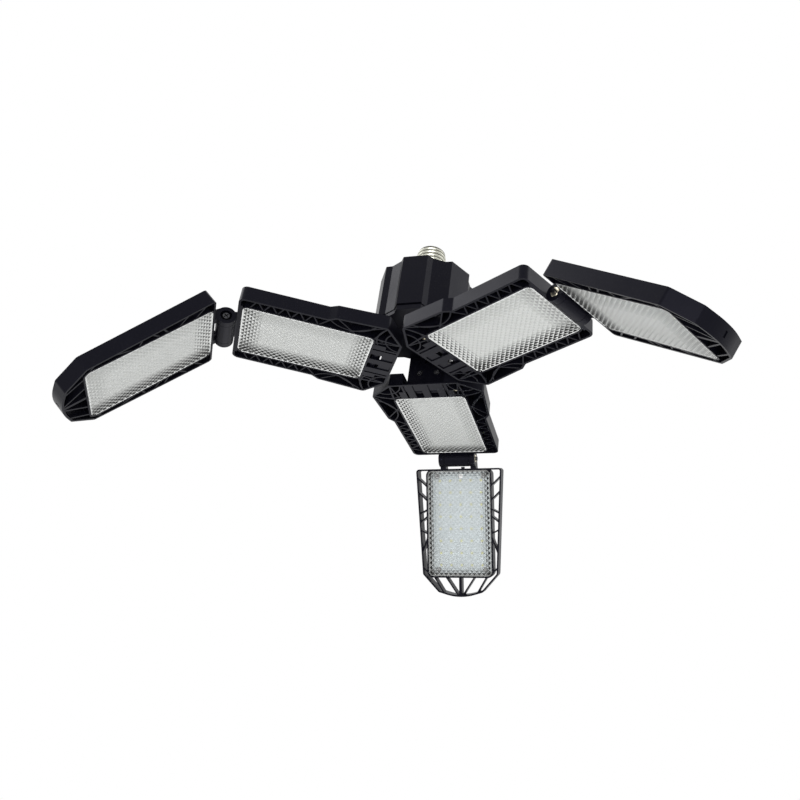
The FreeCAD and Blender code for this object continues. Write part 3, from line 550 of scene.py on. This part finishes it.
def roundCorners(x, y, halfX, halfY, corner):
    # inside each corner square, a point at square distance s from the arc's centre moves to distance s
    dx = np.maximum(np.abs(x) - (halfX - corner), 0)
    dy = np.maximum(np.abs(y) - (halfY - corner), 0)
    both = (dx > 0) & (dy > 0)
    scale = np.where(both, np.maximum(dx, dy) / np.maximum(np.hypot(dx, dy), 1e-9), 1.0)
    newX = np.sign(x) * (np.minimum(np.abs(x), halfX - corner) + dx * scale)
    newY = np.sign(y) * (np.minimum(np.abs(y), halfY - corner) + dy * scale)
    return newX, newY


def lensSurface():
    # a grid over the plate; inside the rim every second grid point is a peak and the others are
    # valleys, so the faces between them make four-sided prisms standing on their corners
    size = lensSize
    halfX, halfY = size["length"] / 2, size["width"] / 2

    def stations(half):
        count = 2 * round((half - size["rim"]) / size["facet"])
        inside = np.linspace(-(half - size["rim"]), half - size["rim"], count + 1)
        return np.concatenate([[-half, -half + size["bevel"]], inside, [half - size["bevel"], half]])

    xs, ys = stations(halfX), stations(halfY)
    x, y = np.meshgrid(xs, ys)
    i, j = np.meshgrid(np.arange(len(xs)), np.arange(len(ys)))
    ring = np.minimum.reduce([i, j, len(xs) - 1 - i, len(ys) - 1 - j])
    valley = ((i + j) % 2 == 1) & (ring > 1)
    front = np.where(valley, size["depth"], 0.0) + np.where(ring == 0, size["bevel"], 0.0)
    x, y = roundCorners(x, y, halfX, halfY, size["corner"])
    count = x.size
    frontPoints = np.stack([x, y, front], -1).reshape(-1, 3)
    backPoints = np.stack([x, y, np.full_like(x, size["thickness"])], -1).reshape(-1, 3)
    index = np.arange(count).reshape(x.shape)
    a, b, c, d = index[:-1, :-1], index[:-1, 1:], index[1:, 1:], index[1:, :-1]
    even = (i + j)[:-1, :-1] % 2 == 0  # the corner a is a peak, so the cut runs from valley b to valley d
    first = np.where(even[..., None], np.stack([a, d, b], -1), np.stack([a, d, c], -1)).reshape(-1, 3)
    second = np.where(even[..., None], np.stack([b, d, c], -1), np.stack([a, c, b], -1)).reshape(-1, 3)
    back1 = np.stack([a, b, c], -1).reshape(-1, 3) + count
    back2 = np.stack([a, c, d], -1).reshape(-1, 3) + count
    loop = np.concatenate([index[0, :-1], index[:-1, -1], index[-1, :0:-1], index[:0:-1, 0]])
    ahead = np.roll(loop, -1)
    side1 = np.stack([loop, ahead, ahead + count], -1)
    side2 = np.stack([loop, ahead + count, loop + count], -1)
    faces = np.concatenate([first, second, back1, back2, side1, side2])
    return np.concatenate([frontPoints, backPoints]), faces


facetLook = {
    "leastLean": 0.1,  # a facet flatter than this isn't shaded
    "facesFront": -0.3,  # the normal's height below which a face is a front one
    "alternateShade": 0.07,  # the faint painted light and shade of neighbouring facets far from the edges
    "rise": 1.7,
    "fadePower": 0.7,
    "darkGain": 1.4,
    "brightGain": 0.35,
}


def facetShades(points, faces, weights, reach):
    # near an edge a facet that leans towards it gets painted shade and one that leans away a little
    # painted highlight, and the other way round where the edge's weight is below 0. Both fade towards the
    # end of the reach, with a power of what is left of it
    size, look = lensSize, facetLook
    corners = points[faces]
    middle = corners.mean(1)
    normal = np.cross(corners[:, 1] - corners[:, 0], corners[:, 2] - corners[:, 0])
    normal /= np.maximum(np.linalg.norm(normal, axis=1, keepdims=True), 1e-12)
    lean = np.hypot(normal[:, 0], normal[:, 1])
    front = normal[:, 2] < look["facesFront"]
    slanted = (lean > look["leastLean"]) & front
    # painted light and shade by which way a facet leans
    shade = look["alternateShade"] * np.sign(normal[:, 0] * normal[:, 1])
    halves = (size["length"] / 2, size["width"] / 2)
    for edge, weight in enumerate(weights):
        axis, sign = edge // 2, (-1, 1)[edge % 2]
        distance = halves[axis] - sign * middle[:, axis]
        near = np.clip(look["rise"] * (1 - distance / reach), 0, 1) ** look["fadePower"]
        towards = sign * normal[:, axis] / np.maximum(lean, 1e-9)
        gain = np.where(weight * towards > 0, look["darkGain"], look["brightGain"])
        change = weight * near * towards * gain
        shade = np.where(np.abs(change) > np.abs(shade), change, shade)
    shade = np.where(slanted, np.clip(shade, -1, 1), 0.0)
    inset = np.minimum(halves[0] - np.abs(middle[:, 0]), halves[1] - np.abs(middle[:, 1]))
    rim = inset < size["rim"]
    return np.where(rim, 0.0, shade), (rim & front).astype(float), front.astype(float)


lensPoints, lensFaces = lensSurface()
for level, (place, start) in placers.items():
    for wing in wings:
        middle = np.array([start + lensSize["length"] / 2, 0, 0])
        body = level + "_" + wing
        weights, reach, hidden, rimHighlight = lensShades[body]
        shade, rim, front = facetShades(lensPoints, lensFaces, weights, reach)
        piece = makePiece(level + "_prism_lens_" + wing, place(lensPoints + middle, wing), lensFaces,
                          finishes["lens_clear"], body,
                          {"shade": shade, "rim": rim * rimHighlight, "cover": front * hidden})
        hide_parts(level + "_lens_" + wing)
print("lenses made")

ledSize = {
    "length": 3.5, "width": 2.8, "height": 0.8,
    "boardFront": 8.5,  # how far the board's front is behind the lens plane
    "columns": 5, "rows": 8, "columnPitch": 10.4, "rowPitch": 11.8,
    "phosphor": 1.15,
}


def ledPlaces(start):
    # the centres of one panel's packages, columns across and rows along
    size = ledSize
    middle = start + lensSize["length"] / 2
    xs = middle + (np.arange(size["rows"]) - (size["rows"] - 1) / 2) * size["rowPitch"]
    ys = (np.arange(size["columns"]) - (size["columns"] - 1) / 2) * size["columnPitch"]
    x, y = np.meshgrid(xs, ys)
    return np.stack([x, y, np.full_like(x, size["boardFront"])], -1).reshape(-1, 1, 3)


def loftRings(rings, closeEnd=True):
    # rings is (count, steps, 3); faces join each ring to the next, and a fan closes the last one
    count, steps = rings.shape[:2]
    index = np.arange(count * steps).reshape(count, steps)
    a, b = index[:-1], np.roll(index[:-1], -1, 1)
    c, d = np.roll(index[1:], -1, 1), index[1:]
    faces = np.concatenate([np.stack([a, d, b], -1).reshape(-1, 3), np.stack([b, d, c], -1).reshape(-1, 3)])
    points = rings.reshape(-1, 3)
    if closeEnd:
        tip = len(points)
        points = np.concatenate([points, rings[-1].mean(0, keepdims=True)])
        last = index[-1]
        fan = np.stack([last, np.full(steps, tip), np.roll(last, -1)], -1)
        faces = np.concatenate([faces, fan])
    return points, faces


shellSize = {
    "skirtRadius": 13.1, "skirtHeight": 3.4, "height": 20.5, "root": 12.1, "crest": 13.03,
    "pitch": 3.629, "inside": 11.6, "mouth": 10.5, "threadEnd": 18.3,
    "steps": 120, "threadRings": 90, "lipRings": 8,
    "fadeIn": 1.2, "fadeOut": 1.4,  # the heights over which the thread rises and dies away
    "skirtStep": 0.15, "rootStep": 0.05,  # the plain tube's radius inside the skirt's and outside the root's
    "lipRadius": 1.6, "lipShare": 0.9, "edge": 0.12,
}


def threadedShell():
    # closed profile rings: up the outside, over the lip and down the inside. On the outside the radius is
    # the mean of root and crest plus half their difference times the cosine of the turn, and the turn
    # grows once per pitch of height and falls once per circle, which makes a right-handed thread. The
    # cosine fades in above the skirt and out below the lip
    size = shellSize
    theta = np.arange(size["steps"]) * 2 * math.pi / size["steps"]
    low, high = size["skirtHeight"] + 0.3, size["threadEnd"]
    z = np.linspace(low, high, size["threadRings"])[:, None]
    share = np.clip(np.minimum((z - low) / size["fadeIn"], (high - z) / size["fadeOut"]), 0, 1)
    fade = share * share * (3 - 2 * share)
    mean, half = (size["root"] + size["crest"]) / 2, (size["crest"] - size["root"]) / 2
    wave = np.cos(2 * math.pi * z / size["pitch"] - theta[None])
    skirt, top, tube = size["skirtRadius"], size["height"], size["root"] + size["rootStep"]
    ends = np.where(z < (low + high) / 2, skirt - size["skirtStep"], tube)
    radius = ends + (mean + half * wave - ends) * fade
    thread = np.stack([radius * np.cos(theta), radius * np.sin(theta), z + 0 * radius], -1)

    def ring(r, height):
        return np.stack([r * np.cos(theta), r * np.sin(theta), np.full(len(theta), height)], -1)[None]

    bend, lipShare = size["lipRadius"], size["lipShare"]
    lip = [ring(tube - bend * (1 - math.cos(a)) * lipShare, top - bend + bend * math.sin(a))
           for a in np.linspace(0.1, math.pi / 2, size["lipRings"])]
    edge, mouth, inside = size["edge"], size["mouth"], size["inside"]
    outer = [ring(skirt - edge, 0), ring(skirt, edge), ring(skirt, size["skirtHeight"] - 0.2)]
    inner = [ring(mouth + 0.1, top), ring(mouth, top - 0.2), ring(mouth + 0.1, top - 0.5)]
    bore = [ring(inside, top - 1.4), ring(inside, 0.1), ring(inside + 0.1, 0)]
    rings = [*outer, thread, *lip, *inner, *bore]
    grid = np.concatenate(rings)
    index = np.arange(len(grid) * len(theta)).reshape(len(grid), len(theta))
    a, b = index, np.roll(index, -1, 1)
    d, c = np.roll(index, -1, 0), np.roll(np.roll(index, -1, 1), -1, 0)
    return grid.reshape(-1, 3), np.stack([a, b, c, d], -1).reshape(-1, 4)


shellPoints, shellFaces = threadedShell()
shell = makePiece("threaded_shell", shellPoints * mm, shellFaces, finishes["shell_metal"],
                  "hub", smooth=True)
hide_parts("screw_shell")
print("screw shell made")


def packageShape():
    # a rounded rectangle carried down from the board: straight walls, a small chamfer, then a
    # round rim; a superellipse of power p gives each ring's outline
    size = ledSize
    steps = 16
    angle = np.arange(steps) * 2 * math.pi / steps

    def ring(halfX, halfY, power, drop):
        cosine, sine = np.cos(angle), np.sin(angle)
        x = halfX * np.sign(cosine) * np.abs(cosine) ** (2 / power)
        y = halfY * np.sign(sine) * np.abs(sine) ** (2 / power)
        return np.stack([x, y, np.full(steps, -drop)], -1)

    halfX, halfY, high, dot = size["length"] / 2, size["width"] / 2, size["height"], size["phosphor"]
    body = np.stack([
        ring(halfX, halfY, 8, 0),
        ring(halfX, halfY, 8, high * 0.85),
        ring(halfX * 0.94, halfY * 0.93, 7, high),
        ring(dot + 0.06, dot + 0.06, 2, high),
        ring(dot, dot, 2, high * 0.9),
    ])
    lit = np.stack([
        ring(dot + 0.02, dot + 0.02, 2, high * 0.88),
        ring(dot * 0.8, dot * 0.8, 2, high * 0.93),
        ring(dot * 0.4, dot * 0.4, 2, high * 0.96),
    ])
    return loftRings(body), loftRings(lit)


def repeatShape(shape, places):
    # one shape's points added to every place at once
    points, faces = shape
    count = len(places)
    allPoints = (places + points[None]).reshape(-1, 3)
    allFaces = (faces[None] + (np.arange(count) * len(points))[:, None, None]).reshape(-1, 3)
    return allPoints, allFaces


packageBody, phosphorDot = packageShape()
packageWhite = plain("ledPackage", (0.86, 0.87, 0.86, 1), (0.80, 0.81, 0.80, 1), (0.35, 0.5), 800.0)
for level, (place, start) in placers.items():
    for wing in wings:
        body = level + "_" + wing
        bodies, bodyFaces = repeatShape(packageBody, ledPlaces(start))
        dots, dotFaces = repeatShape(phosphorDot, ledPlaces(start))
        cases = makePiece(level + "_led_cases_" + wing, place(bodies, wing), bodyFaces, packageWhite,
                          body)
        makePiece(level + "_led_dots_" + wing, place(dots, wing), dotFaces, finishes["led_phosphor"],
                  body, smooth=True)
        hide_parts(level + "_leds_" + wing)
print("LED packages made")


bpy.context.view_layer.update()
